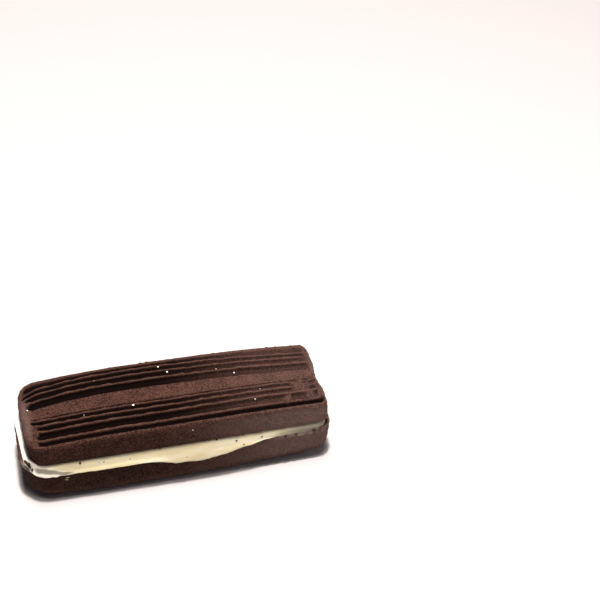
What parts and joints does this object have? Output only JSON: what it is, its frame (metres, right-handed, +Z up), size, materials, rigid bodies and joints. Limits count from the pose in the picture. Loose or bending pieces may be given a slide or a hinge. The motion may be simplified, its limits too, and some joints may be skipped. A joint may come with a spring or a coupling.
{
  "type": "chocolate sandwich biscuit",
  "caption": "Finger-shaped sandwich biscuit: a ridged, domed dark biscuit above and below a thin pale cream filling that bulges at one long side.",
  "frame": {"origin": "centre of the bounding box on the plane that the lower biscuit rests on", "axes": "+X along the length, towards the slanted, dented end; +Y away from the side where the cream bulges; +Z up"},
  "size_m": [0.0752, 0.0248, 0.0205],
  "materials": {
    "top_biscuit": "dry matte baked crumb",
    "cream_filling": "smooth soft satin cream",
    "bottom_biscuit": "dry matte baked crumb"
  },
  "bodies": {
    "root": {"top_biscuit": "top_biscuit", "cream_filling": "cream_filling", "bottom_biscuit": "bottom_biscuit"}
  },
  "joints": []
}
